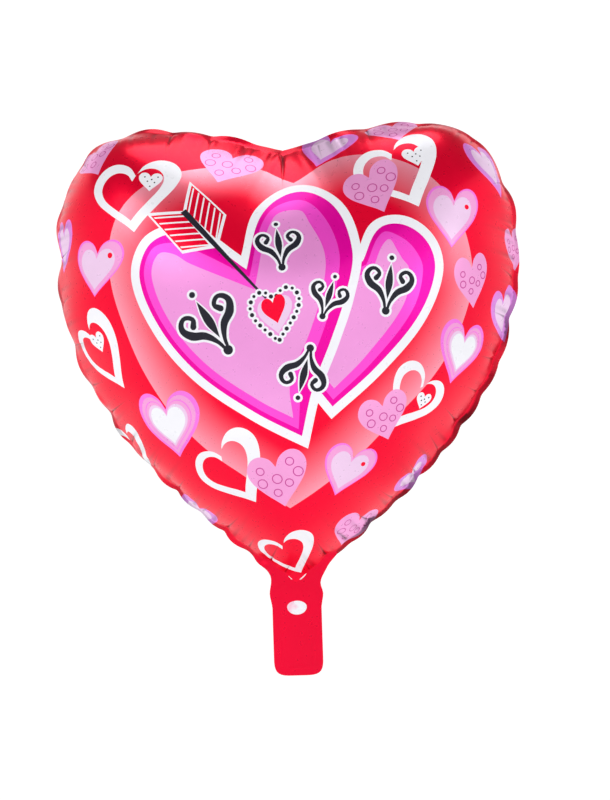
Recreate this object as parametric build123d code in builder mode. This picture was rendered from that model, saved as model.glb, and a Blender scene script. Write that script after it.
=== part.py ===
from build123d import *
import math
import os

# A heart-shaped foil balloon, inflated. Millimetres, +Z up.
# The origin is on the fold line at the root of the tail, where a ribbon is tied.
# The front faces -Y, and the welded seam lies in the XZ plane.

# ---- Driving dimensions ----
BODY_HALF_WIDTH = 181.0     # weld line, centre to widest point
WIDEST_HEIGHT = 268.0       # height of the widest point
LOBE_OFFSET = 98.0          # centre plane to the top of a lobe
LOBE_TOP = 363.0            # height of the lobes at the weld line
CLEFT_DEPTH = 20.0          # how far the cleft dips below the lobes
CLEFT_SLOPE = 0.4           # how steeply the weld line leaves the cleft
TIP_HEIGHT = 6.0            # lowest point of the gas space
SIDE_PULL = 85.0            # how far the side keeps straight below the widest point
TIP_PULL = (133.0, 100.0)   # how wide and how high the curve into the tip is drawn
HALF_DEPTH = 93.0           # seam plane to the crown of a panel
CROWN_HEIGHT = 212.0        # height of the crown, where the panel stands out furthest

SHELL = 0.8                 # stand-in thickness of a foil panel
PLY = 0.8                   # stand-in thickness of one welded ply
SEAM_WIDTH = 4.0            # width of the welded seam outside the gas space

TAIL_WIDTH = 39.0
TAIL_LENGTH = 68.0
TAIL_CORNER = 8.0           # chamfer of the tail's lower corners
FLARE_HALF_WIDTH = 41.0     # neck film where it leaves the body
FLARE_HEIGHT = 33.0
NECK_PULL = (1.0, 0.6)      # curve out of the tail: past its side, and share of the flare's height
FLARE_PULL = (8.0, 0.8)     # curve into the body: short of the flare's side, and share of its height
NECK_LAP = 20.0             # how far the neck film runs up behind the body
FOLD_GAP = 1.2              # film left out each side of the fold line

PORT_RADIUS = 7.0           # inflation hole in the front ply
PORT_DROP = 14.0            # fold line down to the centre of the hole

VALVE_WIDTH = 26.0
VALVE_FILM = 0.35           # stand-in thickness of one valve film
VALVE_POCKET = 0.4          # recess in each ply that holds a valve film
POCKET_PLAY = 1.0           # how much wider and longer than the film the recess is
VALVE_TAIL_END = -40.0      # lower end of the valve films inside the tail
VALVE_NECK_TOP = 20.0       # where the films come free of the neck
VALVE_LENGTH = 64.0         # free length of a flap inside the body
FLAP_GAP = 1.0              # film left out at a flap's hinge line
FLAP_OFFSET = 0.2           # each flap's inner face to the seam plane

SECTION_ANGLES = (0, 20, 38, 54, 68, 80)    # depth stations, in degrees of an ellipse
SECTION_POWER = 0.9                         # how fast the stations shrink towards the crown


def heart(scale):
    """Draw a heart, shrunk about the crown. Its cleft and tip soften as it shrinks."""
    soften = scale**2
    half_width = BODY_HALF_WIDTH * scale
    widest = CROWN_HEIGHT + (WIDEST_HEIGHT - CROWN_HEIGHT) * scale
    top = CROWN_HEIGHT + (LOBE_TOP - CROWN_HEIGHT) * scale
    tip = CROWN_HEIGHT - (CROWN_HEIGHT - TIP_HEIGHT) * scale
    cleft = top - CLEFT_DEPTH * scale * soften
    with BuildLine() as outline:
        Spline(
            (0, cleft),
            (LOBE_OFFSET * scale, top),
            (half_width, widest),
            tangents=[(1, CLEFT_SLOPE * soften), (0, -1)],
        )
        Bezier(
            (half_width, widest),
            (half_width, widest - SIDE_PULL * scale),
            (TIP_PULL[0] * scale, tip + TIP_PULL[1] * scale * soften),
            (0, tip),
        )
        mirror(about=Plane.YZ)
    make_face(outline.edges())


def panel_loft(inset, mode):
    """Loft a dome from heart sections. A dome inset by the film's thickness hollows it."""
    shrink = 1 - inset / BODY_HALF_WIDTH
    depth = HALF_DEPTH - inset
    sections = []
    for angle in SECTION_ANGLES:
        section_depth = depth * math.sin(math.radians(angle))
        section_scale = shrink * math.cos(math.radians(angle)) ** SECTION_POWER
        with BuildSketch(Plane.XZ.offset(section_depth)) as section:
            heart(section_scale)
        sections.append(section.sketch.face())
    loft(sections, mode=mode)


def neck_outline():
    """Draw the flat neck film, flared from the tail's width to the body."""
    half = TAIL_WIDTH / 2
    with BuildLine() as outline:
        Line((0, FOLD_GAP), (half, FOLD_GAP))
        Bezier(
            (half, FOLD_GAP),
            (half + NECK_PULL[0], FLARE_HEIGHT * NECK_PULL[1]),
            (FLARE_HALF_WIDTH - FLARE_PULL[0], FLARE_HEIGHT * FLARE_PULL[1]),
            (FLARE_HALF_WIDTH, FLARE_HEIGHT),
        )
        Line((FLARE_HALF_WIDTH, FLARE_HEIGHT), (0, FLARE_HEIGHT + NECK_LAP))
        mirror(about=Plane.YZ)
    make_face(outline.edges())


def valve_strip(low, high, play=0.0):
    """Draw a straight strip of valve film between two heights, or the recess that holds it."""
    with Locations((0, (low + high) / 2)):
        Rectangle(VALVE_WIDTH + play, high - low + play)


# ---- Front panel: dome, its half of the welded seam and its ply of the neck ----
with BuildPart() as front_panel:
    panel_loft(0, Mode.ADD)
    with BuildSketch(Plane.XZ):
        heart(1 + SEAM_WIDTH / BODY_HALF_WIDTH)
        neck_outline()
    extrude(amount=PLY)
    panel_loft(SHELL, Mode.SUBTRACT)
    with BuildSketch(Plane.XZ):
        valve_strip(-FOLD_GAP, VALVE_NECK_TOP + NECK_LAP / 2, POCKET_PLAY)
    extrude(amount=VALVE_POCKET, mode=Mode.SUBTRACT)
front_panel.part.label = "front_panel"

with BuildPart() as back_panel:
    mirror(front_panel.part, about=Plane.XZ)
back_panel.part.label = "back_panel"


# ---- Tail: two plies, the front one with the inflation hole ----
def tail_outline():
    """Draw the tail below the fold line, with its lower corners cut."""
    with Locations((0, -(TAIL_LENGTH + FOLD_GAP) / 2)):
        Rectangle(TAIL_WIDTH, TAIL_LENGTH - FOLD_GAP)
    lower_corners = vertices().group_by(Axis.Y)[0]
    chamfer(lower_corners, length=TAIL_CORNER)


def tail_ply():
    """Make one ply of the tail, with the recess for its valve film, on the front side of the seam."""
    with BuildSketch(Plane.XZ) as outline:
        tail_outline()
    extrude(outline.sketch, amount=PLY)
    with BuildSketch(Plane.XZ) as recess:
        valve_strip(VALVE_TAIL_END, 0, POCKET_PLAY)
    extrude(recess.sketch, amount=VALVE_POCKET, mode=Mode.SUBTRACT)


with BuildPart() as tail_front_ply:
    tail_ply()
    with BuildSketch(Plane.XZ):
        with Locations((0, -PORT_DROP)):
            Circle(PORT_RADIUS)
    extrude(amount=PLY, mode=Mode.SUBTRACT)
tail_front_ply.part.label = "tail_front_ply"

with BuildPart() as tail_back_ply:
    tail_ply()
    mirror(about=Plane.XZ, mode=Mode.REPLACE)
tail_back_ply.part.label = "tail_back_ply"

# ---- Valve: two films, each in three stretches parted at the folds ----
NECK_FILM_PLANE = Plane.XZ.offset(VALVE_POCKET - VALVE_FILM)
FLAP_PLANE = Plane.XZ.offset(FLAP_OFFSET)

with BuildPart() as valve_front_tail:
    with BuildSketch(NECK_FILM_PLANE):
        valve_strip(VALVE_TAIL_END, -FOLD_GAP)
        with Locations((0, -PORT_DROP)):
            Circle(PORT_RADIUS, mode=Mode.SUBTRACT)
    extrude(amount=VALVE_FILM)
valve_front_tail.part.label = "valve_front_tail"

with BuildPart() as valve_back_tail:
    with BuildSketch(NECK_FILM_PLANE):
        valve_strip(VALVE_TAIL_END, -FOLD_GAP)
    extrude(amount=VALVE_FILM)
    mirror(about=Plane.XZ, mode=Mode.REPLACE)
valve_back_tail.part.label = "valve_back_tail"

with BuildPart() as valve_front_neck:
    with BuildSketch(NECK_FILM_PLANE):
        valve_strip(FOLD_GAP, VALVE_NECK_TOP)
    extrude(amount=VALVE_FILM)
valve_front_neck.part.label = "valve_front_neck"

with BuildPart() as valve_back_neck:
    mirror(valve_front_neck.part, about=Plane.XZ)
valve_back_neck.part.label = "valve_back_neck"

with BuildPart() as valve_front_flap:
    with BuildSketch(FLAP_PLANE):
        valve_strip(VALVE_NECK_TOP + FLAP_GAP, VALVE_NECK_TOP + VALVE_LENGTH)
    extrude(amount=VALVE_FILM)
valve_front_flap.part.label = "valve_front_flap"

with BuildPart() as valve_back_flap:
    mirror(valve_front_flap.part, about=Plane.XZ)
valve_back_flap.part.label = "valve_back_flap"

# ---- Export ----
PIECES = (
    front_panel,
    back_panel,
    tail_front_ply,
    tail_back_ply,
    valve_front_tail,
    valve_back_tail,
    valve_front_neck,
    valve_back_neck,
    valve_front_flap,
    valve_back_flap,
)
os.makedirs("parts", exist_ok=True)
for piece in PIECES:
    export_step(piece.part, f"parts/{piece.part.label}.step")
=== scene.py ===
import math

import bpy
import numpy as np
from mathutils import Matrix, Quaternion, Vector, noise
from mathutils.bvhtree import BVHTree
from mathutils.geometry import delaunay_2d_cdt


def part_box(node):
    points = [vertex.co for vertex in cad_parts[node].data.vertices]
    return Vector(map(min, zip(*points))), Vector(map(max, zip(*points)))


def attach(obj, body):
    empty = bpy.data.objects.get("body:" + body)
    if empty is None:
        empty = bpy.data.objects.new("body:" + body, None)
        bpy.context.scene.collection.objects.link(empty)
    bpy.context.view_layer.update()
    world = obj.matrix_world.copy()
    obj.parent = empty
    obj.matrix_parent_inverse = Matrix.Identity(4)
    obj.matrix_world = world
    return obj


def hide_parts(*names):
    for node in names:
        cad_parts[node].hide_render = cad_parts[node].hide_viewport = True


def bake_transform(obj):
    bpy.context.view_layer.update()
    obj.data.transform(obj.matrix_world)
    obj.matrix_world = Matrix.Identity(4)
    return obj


# A heart-shaped foil balloon. Two flat foil panels, welded round the rim, are blown up by
# cloth simulation. The print is cut into the film's mesh, so each ink has its own material.
# Metres, +Z up, front towards -Y. Flat film is measured as (across, up) from the fold line.

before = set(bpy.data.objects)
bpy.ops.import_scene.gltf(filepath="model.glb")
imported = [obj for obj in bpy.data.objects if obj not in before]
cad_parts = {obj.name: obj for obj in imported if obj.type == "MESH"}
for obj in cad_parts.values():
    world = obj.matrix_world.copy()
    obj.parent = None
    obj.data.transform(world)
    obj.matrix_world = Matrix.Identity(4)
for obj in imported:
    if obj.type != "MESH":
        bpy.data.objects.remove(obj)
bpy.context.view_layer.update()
TAIL_LOW, TAIL_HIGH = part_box("tail_front_ply")

# ---------------------------------------------------------------- driving dimensions
GRID = 0.006                        # film mesh that the simulation moves
FINE = 0.0028                       # film mesh that is shown
NECK_FINE = 0.0016                  # and where it folds: the neck, the tail and inside the rim
FILM_ACROSS = (-0.26, 0.26)         # the flat film lies within these
FILM_UP = (-0.08, 0.47)
SEAM = 0.0055                       # welded border outside the gas space
TIP = 0.006                         # lowest point of the gas space
TAIL_HALF = (TAIL_HIGH.x - TAIL_LOW.x) / 2
TAIL_LENGTH = -TAIL_LOW.z
TAIL_CORNER = 0.008
FLARE_HALF = 0.044                  # neck film where it leaves the body
FLARE_TOP = 0.036
PORT = (0.0, -0.0135)               # inflation hole in the front ply
PORT_RADII = (0.0078, 0.0062)
FILM_GAP = 0.00012                  # between the two films where they are welded

# The weld line: as cut flat, and where it lies once the balloon is full.
CUT = {"half": 0.222, "wide_at": 0.315, "lobe": 0.115, "top": 0.440, "cleft": 0.418,
       "rise": 0.55, "over": (0.60, 0.55), "shoulder": 0.12, "hip": (0.172, 0.085)}
FULL = {"half": 0.182, "wide_at": 0.268, "lobe": 0.102, "top": 0.367, "cleft": 0.344,
        "rise": 0.5, "over": (0.70, 0.60), "shoulder": 0.085, "hip": (0.142, 0.098)}

# Creases in the rim: (share of the way from cleft to tip, strength), on each side.
CREASES_RIGHT = [(0.05, 0.5), (0.12, 0.6), (0.19, 1.0), (0.27, 0.5), (0.345, 1.0), (0.41, 0.6),
                 (0.475, 0.6), (0.53, 1.0), (0.59, 0.6), (0.64, 0.8), (0.69, 1.2), (0.735, 0.7),
                 (0.78, 1.2), (0.825, 0.7), (0.87, 1.1), (0.91, 0.6), (0.945, 1.0), (0.975, 0.5)]
CREASES_LEFT = [(0.04, 0.4), (0.10, 0.8), (0.155, 1.0), (0.225, 0.6), (0.29, 0.8), (0.36, 0.6),
                (0.43, 1.1), (0.49, 0.5), (0.55, 0.8), (0.61, 0.6), (0.655, 1.2), (0.705, 0.6),
                (0.75, 0.7), (0.795, 1.2), (0.84, 0.6), (0.88, 1.1), (0.92, 0.7), (0.955, 0.9),
                (0.98, 0.5)]
CLEFT_CREASE = 1.6
CREASE_DEPTH = 0.0045               # how far a crease of strength 1 draws the rim in
RIM_WAVE = 0.0030                   # how far the rim waves to and fro between creases

# How far the seam leans back, in degrees, at shares of the way from cleft to tip. It ripples too.
LEAN_RIGHT = [(0, 35), (0.10, 62), (0.30, 66), (0.50, 40), (0.62, 18), (0.78, 42), (0.92, 48),
              (1, 25)]
LEAN_LEFT = [(0, 35), (0.12, 58), (0.30, 76), (0.60, 72), (0.75, 60), (0.88, 55), (1, 25)]
LEAN_RIPPLE = {"right": 9, "left": 14}


# ---------------------------------------------------------------- curves on the flat film
def bezier(points, steps):
    p = [np.array(q, float) for q in points]
    t = np.linspace(0, 1, steps)[:, None]
    return (1 - t)**3 * p[0] + 3 * (1 - t)**2 * t * p[1] + 3 * (1 - t) * t * t * p[2] + t**3 * p[3]


def left_of(way):
    """Each direction turned a quarter turn anticlockwise."""
    return np.stack([-way[..., 1], way[..., 0]], -1)


def unit(ways):
    return ways / np.linalg.norm(ways, axis=-1)[..., None]


def closed(loop):
    return np.vstack([loop, loop[:1]])


def lengths(line):
    """How far along the line each of its points is."""
    return np.concatenate([[0], np.cumsum(np.linalg.norm(np.diff(line, axis=0), axis=1))])


def even(line, count):
    """The line again, in that many steps of equal length."""
    along = lengths(line)
    at = np.linspace(0, along[-1], count + 1)
    return np.stack([np.interp(at, along, line[:, 0]), np.interp(at, along, line[:, 1])], 1)


def stepped(line, step):
    return even(line, max(1, int(round(lengths(line)[-1] / step))))


def close_set(loop, step):
    """The closed line with points added, so that none are further apart than step."""
    parts = []
    for a, b in zip(loop, np.roll(loop, -1, 0)):
        count = max(1, math.ceil(np.linalg.norm(b - a) / step))
        parts.append(a + (b - a) * np.arange(count)[:, None] / count)
    return np.vstack(parts)


def heart_sides(o):
    """Right half of the body's outline: cleft to lobe, lobe to widest point, and on to the tip."""
    cleft, top, lobe, half, wide = o["cleft"], o["top"], o["lobe"], o["half"], o["wide_at"]
    climb = (lobe * 0.35, cleft + (top - cleft) * o["rise"])
    to_lobe = bezier([(0, cleft), climb, (lobe * 0.6, top), (lobe, top)], 400)
    over = (lobe + (half - lobe) * o["over"][0], top)
    down = (half, wide + (top - wide) * o["over"][1])
    to_wide = bezier([(lobe, top), over, down, (half, wide)], 400)
    hip = (o["hip"][0], TIP + o["hip"][1])
    to_tip = bezier([(half, wide), (half, wide - o["shoulder"]), hip, (0, TIP)], 400)
    return [to_lobe, to_wide, to_tip]


def mirrored(half):
    """A closed loop from its right half, clockwise from the top."""
    return np.vstack([half, half[::-1][1:-1] * [-1, 1]])


def outward(loop):
    return left_of(unit(np.roll(loop, -1, 0) - np.roll(loop, 1, 0)))


def rim_normals(line):
    """Outward from the heart's outline: straight up at the cleft and straight down at the tip."""
    away = outward(line)
    away[0], away[len(line) // 2] = (0, 1), (0, -1)
    return away


def inside(loop, points):
    """Which points the closed loop winds round."""
    x, y = points[:, 0], points[:, 1]
    turns = np.zeros(len(points), int)
    for (x0, y0), (x1, y1) in zip(loop, np.roll(loop, -1, 0)):
        if y0 != y1:
            to_right = x < (x1 - x0) * (y - y0) / (y1 - y0) + x0
            turns += ((y0 <= y) & (y < y1) & to_right).astype(int)
            turns -= ((y1 <= y) & (y < y0) & to_right).astype(int)
    return turns != 0


def nearest_on(line, points):
    """Each point's distance from the line, and how far along the line its nearest spot is."""
    start = lengths(line)
    nearest, along = np.full(len(points), np.inf), np.zeros(len(points))
    for k, (a, b) in enumerate(zip(line[:-1], line[1:])):
        run = b - a
        share = np.clip(((points - a) @ run) / max(run @ run, 1e-30), 0, 1)
        gap = np.linalg.norm(points - (a + share[:, None] * run), axis=1)
        closer = gap < nearest
        nearest[closer] = gap[closer]
        along[closer] = start[k] + share[closer] * (start[k + 1] - start[k])
    return nearest, along


def distance_to(loop, points):
    return nearest_on(closed(loop), points)[0]


def weld_line(o, step):
    """The body's closed outline. CUT and FULL give the same number of points, piece by piece."""
    counts = [int(round(lengths(side)[-1] / step)) for side in heart_sides(CUT)]
    sides = [even(side, count) for side, count in zip(heart_sides(o), counts)]
    return mirrored(np.vstack([sides[0], sides[1][1:], sides[2][1:]]))


COARSE_WELD = weld_line(CUT, GRID)
WELD = weld_line(CUT, FINE)


def film_edge(step):
    """The cut edge of the film: round the seam, down the flared neck and round the tail."""
    weld = weld_line(CUT, step)
    edge = (weld + rim_normals(weld) * SEAM)[:len(weld) // 2 + 1]
    kept = edge[(edge[:, 1] > FLARE_TOP) | (edge[:, 0] > FLARE_HALF)]
    leave, root = kept[-1], (TAIL_HALF, -0.014)
    neck = bezier([leave, leave + (-0.012, -0.011), (TAIL_HALF + 0.004, 0.014), root], 60)
    side = np.array([root, (TAIL_HALF, TAIL_CORNER - TAIL_LENGTH)])
    corner = bezier([side[-1], (TAIL_HALF, 0.003 - TAIL_LENGTH), (TAIL_HALF - 0.002, -TAIL_LENGTH),
                     (TAIL_HALF - TAIL_CORNER, -TAIL_LENGTH)], 12)
    foot = np.array([corner[-1], (0, -TAIL_LENGTH)])
    parts = [stepped(part, step)[1:] for part in (neck, side, corner, foot)]
    return mirrored(np.vstack([kept] + parts))


# ---------------------------------------------------------------- the film's meshes
def hex_points(step):
    """Evenly spaced points over the film."""
    row = step * math.sqrt(3) / 2
    across = np.arange(*FILM_ACROSS, step)
    up = np.arange(*FILM_UP, row)
    return np.array([(x + step / 2 * (j % 2), y) for j, y in enumerate(up) for x in across])


def triangulate(points, edges, faces=()):
    verts, _, tris, _, _, owners = delaunay_2d_cdt(
        [Vector(p) for p in points], edges, [list(f) for f in faces], 0, 1e-7)
    return np.array([tuple(v) for v in verts]), np.array([tuple(t) for t in tris]), owners


def packed(points, tris):
    """The points that the triangles use, and the triangles renumbered to match."""
    used = np.unique(tris)
    place = np.full(len(points), -1)
    place[used] = np.arange(len(used))
    return points[used], place[tris]


def ring_edges(start, count):
    return [(start + i, start + (i + 1) % count) for i in range(count)]


def edges_of(tris):
    pairs = np.vstack([tris[:, [0, 1]], tris[:, [1, 2]], tris[:, [2, 0]]])
    return np.unique(np.sort(pairs, 1), axis=0)


def relax(values, held, edges, steps):
    """Each free value becomes the mean of its neighbours, over and over."""
    count = len(values)
    share = np.maximum(1, np.bincount(edges.ravel(), minlength=count))[:, None]
    for _ in range(steps):
        total = np.stack([np.bincount(edges[:, 0], values[edges[:, 1], c], minlength=count)
                          + np.bincount(edges[:, 1], values[edges[:, 0], c], minlength=count)
                          for c in range(values.shape[1])], 1)
        values = np.where(held[:, None], values, total / share)
    return values


def counter_clockwise(points, tris):
    a, b, c = points[tris[:, 0]], points[tris[:, 1]], points[tris[:, 2]]
    return np.where((cross(b - a, c - a) < 0)[:, None], tris[:, ::-1], tris)


def scallops(creases, share):
    """How far the rim is drawn in at its creases, and how it waves to and fro between them."""
    at = np.array([0] + [c[0] for c in creases] + [1])
    depth = np.array([0] + [c[1] for c in creases] + [0])
    k = np.clip(np.searchsorted(at, share, side="right") - 1, 0, len(at) - 2)
    gap = at[k + 1] - at[k]
    t = (share - at[k]) / gap
    nip = depth[k] * (1 - t)**3 + depth[k + 1] * t**3
    wave = np.where(k % 2 == 0, 1, -1) * np.sin(np.pi * t) * np.minimum(1, gap / 0.05)
    return nip, wave


def full_weld_line():
    """Where the weld line lies on the full balloon, drawn in at each crease."""
    line = weld_line(FULL, GRID)
    away = rim_normals(line)
    share = lengths(line[:len(line) // 2 + 1])
    share /= share[-1]
    nip_r, wave_r = scallops(CREASES_RIGHT, share)
    nip_l, wave_l = scallops(CREASES_LEFT, share)
    nip = np.concatenate([nip_r, nip_l[::-1][1:-1]]) * CREASE_DEPTH
    wave = np.concatenate([wave_r, -wave_l[::-1][1:-1]]) * RIM_WAVE
    return np.column_stack([line[:, 0] - away[:, 0] * nip, wave, line[:, 1] - away[:, 1] * nip])


HELD_BELOW = -0.002                 # the flat film below this stays put


def coarse_film():
    """The two films as one mesh, joined at the weld line. The seam, neck and tail are one layer."""
    weld, edge = COARSE_WELD, film_edge(GRID)
    n, m = len(weld), len(edge)
    grid = hex_points(GRID)
    grid = grid[inside(edge, grid)]
    grid = grid[(distance_to(weld, grid) > GRID * 0.6) & (distance_to(edge, grid) > GRID * 0.5)]
    rings = ring_edges(0, n) + ring_edges(n, m)
    points, tris, _ = triangulate(np.vstack([weld, edge, grid]), rings)
    tris = tris[inside(edge, points[tris].mean(1))]
    in_body = inside(weld, points[tris].mean(1))
    count = len(points)
    links = edges_of(tris)
    points = relax(points, np.arange(count) < n + m, links, 40)
    tris = counter_clockwise(points, tris)
    on_weld = np.arange(count) < n
    move = np.zeros((count, 3))
    move[:n] = full_weld_line() - np.column_stack([weld[:, 0], 0 * weld[:, 0], weld[:, 1]])
    move = relax(move, on_weld | (points[:, 1] < HELD_BELOW), links, 600)

    # Inside the weld line each point has a twin. It stays on the front film, the twin on the back.
    inner = np.zeros(count, bool)
    inner[tris[in_body].ravel()] = True
    inner[:n] = False
    twin = np.arange(count)
    twin[inner] = count + np.arange(inner.sum())
    bulge = 0.006 * (1 - np.exp(-distance_to(weld, points) / 0.04))
    side = np.concatenate([np.where(inner, -1.0, 0.0), np.ones(inner.sum())])
    flat = np.vstack([points, points[inner]])
    start = np.column_stack([flat[:, 0], side * np.concatenate([bulge, bulge[inner]]), flat[:, 1]])
    run = np.linalg.norm(edge[:, None] - weld[None], axis=2)
    seam_edge = [(n + i, int(run[i].argmin())) for i in range(m)
                 if edge[i, 1] > FLARE_TOP or abs(edge[i, 0]) > FLARE_HALF]
    return {
        "seam_edge": seam_edge,
        "flat": flat,
        "start": start,
        "goal": start + np.vstack([move, move[inner]]),
        "front": tris[in_body],
        "back": twin[tris[in_body]][:, ::-1],
        "seam": tris[~in_body],
        "gas": side != 0,
        "held": (np.arange(len(flat)) < n) | (flat[:, 1] < HELD_BELOW),
    }


def mesh_object(name, points, faces):
    mesh = bpy.data.meshes.new(name)
    mesh.from_pydata([tuple(p) for p in points], [], [tuple(int(i) for i in f) for f in faces])
    mesh.update()
    piece = bpy.data.objects.new(name, mesh)
    bpy.context.scene.collection.objects.link(piece)
    return piece


def smooth(mesh):
    mesh.polygons.foreach_set("use_smooth", [True] * len(mesh.polygons))


def shape_of(piece):
    found = piece.evaluated_get(bpy.context.evaluated_depsgraph_get()).data
    co = np.zeros(len(found.vertices) * 3)
    found.vertices.foreach_get("co", co)
    return co.reshape(-1, 3)


def group(piece, name, chosen):
    made = piece.vertex_groups.new(name=name)
    made.add([int(i) for i in np.flatnonzero(chosen)], 1.0, "REPLACE")


def seam_tilt(share, leans, ripple):
    """How far the seam is folded towards the back at a place round the rim, in radians."""
    return np.radians(np.interp(share, *zip(*leans)) + ripple * np.sin(share * 61 + 0.7))


def fold_seam(film, blown):
    """The seam stands out from the rim, tilted backwards: further on the left than on the right."""
    line = blown[:len(COARSE_WELD)]
    across = outward(line[:, [0, 2]])
    share = np.linspace(0, 1, len(line) // 2 + 1)
    right = seam_tilt(share, LEAN_RIGHT, LEAN_RIPPLE["right"])
    left = seam_tilt(share, LEAN_LEFT, LEAN_RIPPLE["left"])
    tilt = np.concatenate([right, left[::-1][1:-1]])
    out = np.column_stack([across[:, 0] * np.cos(tilt), np.sin(tilt), across[:, 1] * np.cos(tilt)])
    shown = blown.copy()
    for vertex, near in film["seam_edge"]:
        shown[vertex] = line[near] + out[near] * SEAM
    return shown


def blow_up(film):
    """Cloth simulation: gas fills the film while the weld line draws in to its full shape."""
    frames, drawn_in = 36, 15
    faces = np.vstack([film["front"], film["back"], film["seam"]])
    piece = mesh_object("blown_film", film["start"], faces)
    piece.shape_key_add(name="flat")
    key = piece.shape_key_add(name="full")
    key.data.foreach_set("co", film["goal"].ravel())
    key.value = 0
    key.keyframe_insert("value", frame=1)
    key.value = 1
    key.keyframe_insert("value", frame=drawn_in)
    group(piece, "gas", film["gas"])
    group(piece, "held", film["held"])
    cloth = piece.modifiers.new("Cloth", "CLOTH")
    s = cloth.settings
    s.quality = 8
    s.mass = 0.03
    s.air_damping = 3
    s.tension_stiffness, s.compression_stiffness = 80, 0.3
    s.shear_stiffness, s.bending_stiffness = 80, 0.02
    s.tension_damping = s.compression_damping = s.shear_damping = 10
    s.bending_damping = 0.5
    s.use_pressure = True
    s.uniform_pressure_force = 8
    s.vertex_group_pressure = "gas"
    s.vertex_group_mass = "held"
    s.effector_weights.gravity = 0
    cloth.point_cache.frame_end = frames
    scene = bpy.context.scene
    scene.frame_start, scene.frame_end = 1, frames
    for f in range(1, frames + 1):
        scene.frame_set(f)
    blown = shape_of(piece)
    bpy.data.objects.remove(piece)
    scene.frame_set(1)
    still = ~film["gas"]
    return fold_seam(film, relax(blown, still, edges_of(faces), 14))


# ---------------------------------------------------------------- from flat film to full balloon
def finer(values, tris, creased):
    """One step of Loop subdivision. creased is a set of pairs: edges that keep their own line."""
    count = len(values)
    corner = np.vstack([tris[:, [0, 1]], tris[:, [1, 2]], tris[:, [2, 0]]])
    across = np.concatenate([tris[:, 2], tris[:, 0], tris[:, 1]])
    edges, which = np.unique(np.sort(corner, 1), axis=0, return_inverse=True)
    which = which.ravel()
    uses = np.bincount(which, minlength=len(edges))
    hard = uses == 1
    if creased:
        hard |= np.array([tuple(e) in creased for e in edges.tolist()])
    ends = values[edges[:, 0]] + values[edges[:, 1]]
    wings = np.zeros_like(ends)
    np.add.at(wings, which, values[across])
    middle = np.where(hard[:, None], ends / 2, ends * 3 / 8 + wings / 8)
    soft_sum, hard_sum = np.zeros_like(values), np.zeros_like(values)
    for a, b in ((0, 1), (1, 0)):
        np.add.at(soft_sum, edges[:, a], values[edges[:, b]])
        np.add.at(hard_sum, edges[hard][:, a], values[edges[hard][:, b]])
    near = np.bincount(edges.ravel(), minlength=count).astype(float)
    hard_near = np.bincount(edges[hard].ravel(), minlength=count)
    around = np.maximum(near, 1)
    pull = (0.625 - (0.375 + 0.25 * np.cos(2 * np.pi / around))**2) / around
    moved = values * (1 - near * pull)[:, None] + soft_sum * pull[:, None]
    on_line = values * 0.75 + hard_sum * 0.125
    moved = np.where((hard_near == 2)[:, None], on_line, moved)
    moved = np.where((hard_near > 2)[:, None] | (near == 0)[:, None], values, moved)
    mid = count + which.reshape(3, -1)
    corners = [np.stack([tris[:, k], mid[k], mid[k - 1]], 1) for k in range(3)]
    split = np.vstack(corners + [mid.T])
    next_creased = set()
    for k in np.flatnonzero(hard & (uses > 1)):
        a, b = edges[k]
        next_creased |= {(int(a), int(count + k)), (int(b), int(count + k))}
    return np.vstack([moved, middle]), split, next_creased


class Surface:
    """One film of the full balloon, as a map from the flat film."""

    def __init__(self, film, blown, dome):
        values, tris = packed(np.hstack([blown, film["flat"]]), np.vstack([dome, film["seam"]]))
        creased = {tuple(sorted(pair)) for pair in ring_edges(0, len(COARSE_WELD))}
        for _ in range(2):
            values, tris, creased = finer(values, tris, creased)
        self.full, self.flat, self.tris = values[:, :3], values[:, 3:], tris
        lifted = np.column_stack([self.flat, np.zeros(len(self.flat))])
        self.tree = BVHTree.FromPolygons(lifted.tolist(), tris.tolist())

    def at(self, points):
        """Where points of the flat film lie on the full balloon."""
        hits = [self.tree.find_nearest(Vector((x, y, 0))) for x, y in points]
        tri = self.tris[[h[2] for h in hits]]
        spot = np.array([tuple(h[0])[:2] for h in hits])
        a, b, c = (self.flat[tri[:, k]] for k in range(3))
        whole = cross(b - a, c - a)
        share_b = cross(spot - a, c - a) / whole
        share_c = cross(b - a, spot - a) / whole
        shares = np.stack([1 - share_b - share_c, share_b, share_c], 1)
        return (self.full[tri] * shares[:, :, None]).sum(1)


def cross(a, b):
    return a[:, 0] * b[:, 1] - a[:, 1] * b[:, 0]


# ---------------------------------------------------------------- the print
INKS = ["ground", "glow", "white", "magenta", "rose", "orchid", "black", "pink", "blush", "ring",
        "lilac", "crimson", "edge"]

# The print lies a little turned and aside from the film's own middle.
PRINT_PIVOT = np.array((0.0, 0.15))
PRINT_TURN = -1.8
PRINT_SHIFT = (0.0025, -0.001)


def registered(line):
    return turned(np.asarray(line) - PRINT_PIVOT, PRINT_TURN) + PRINT_PIVOT + PRINT_SHIFT


class Print:
    """Shapes laid over each other on the flat film. The last one laid at a spot shows."""

    def __init__(self):
        self.layers = []

    def lay(self, ink, loop, *holes):
        loops = [close_set(registered(line), FINE) for line in (loop, *holes)]
        self.layers.append((INKS.index(ink), loops))

    def ink_at(self, points, ink):
        for number, (outer, *holes) in self.layers:
            low, high = outer.min(0), outer.max(0)
            near = np.flatnonzero(((points >= low) & (points <= high)).all(1))
            hit = inside(outer, points[near])
            for hole in holes:
                hit &= ~inside(hole, points[near])
            ink[near[hit]] = number
        return ink

    def loops(self):
        return [loop for _, loops in self.layers for loop in loops]


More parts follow.
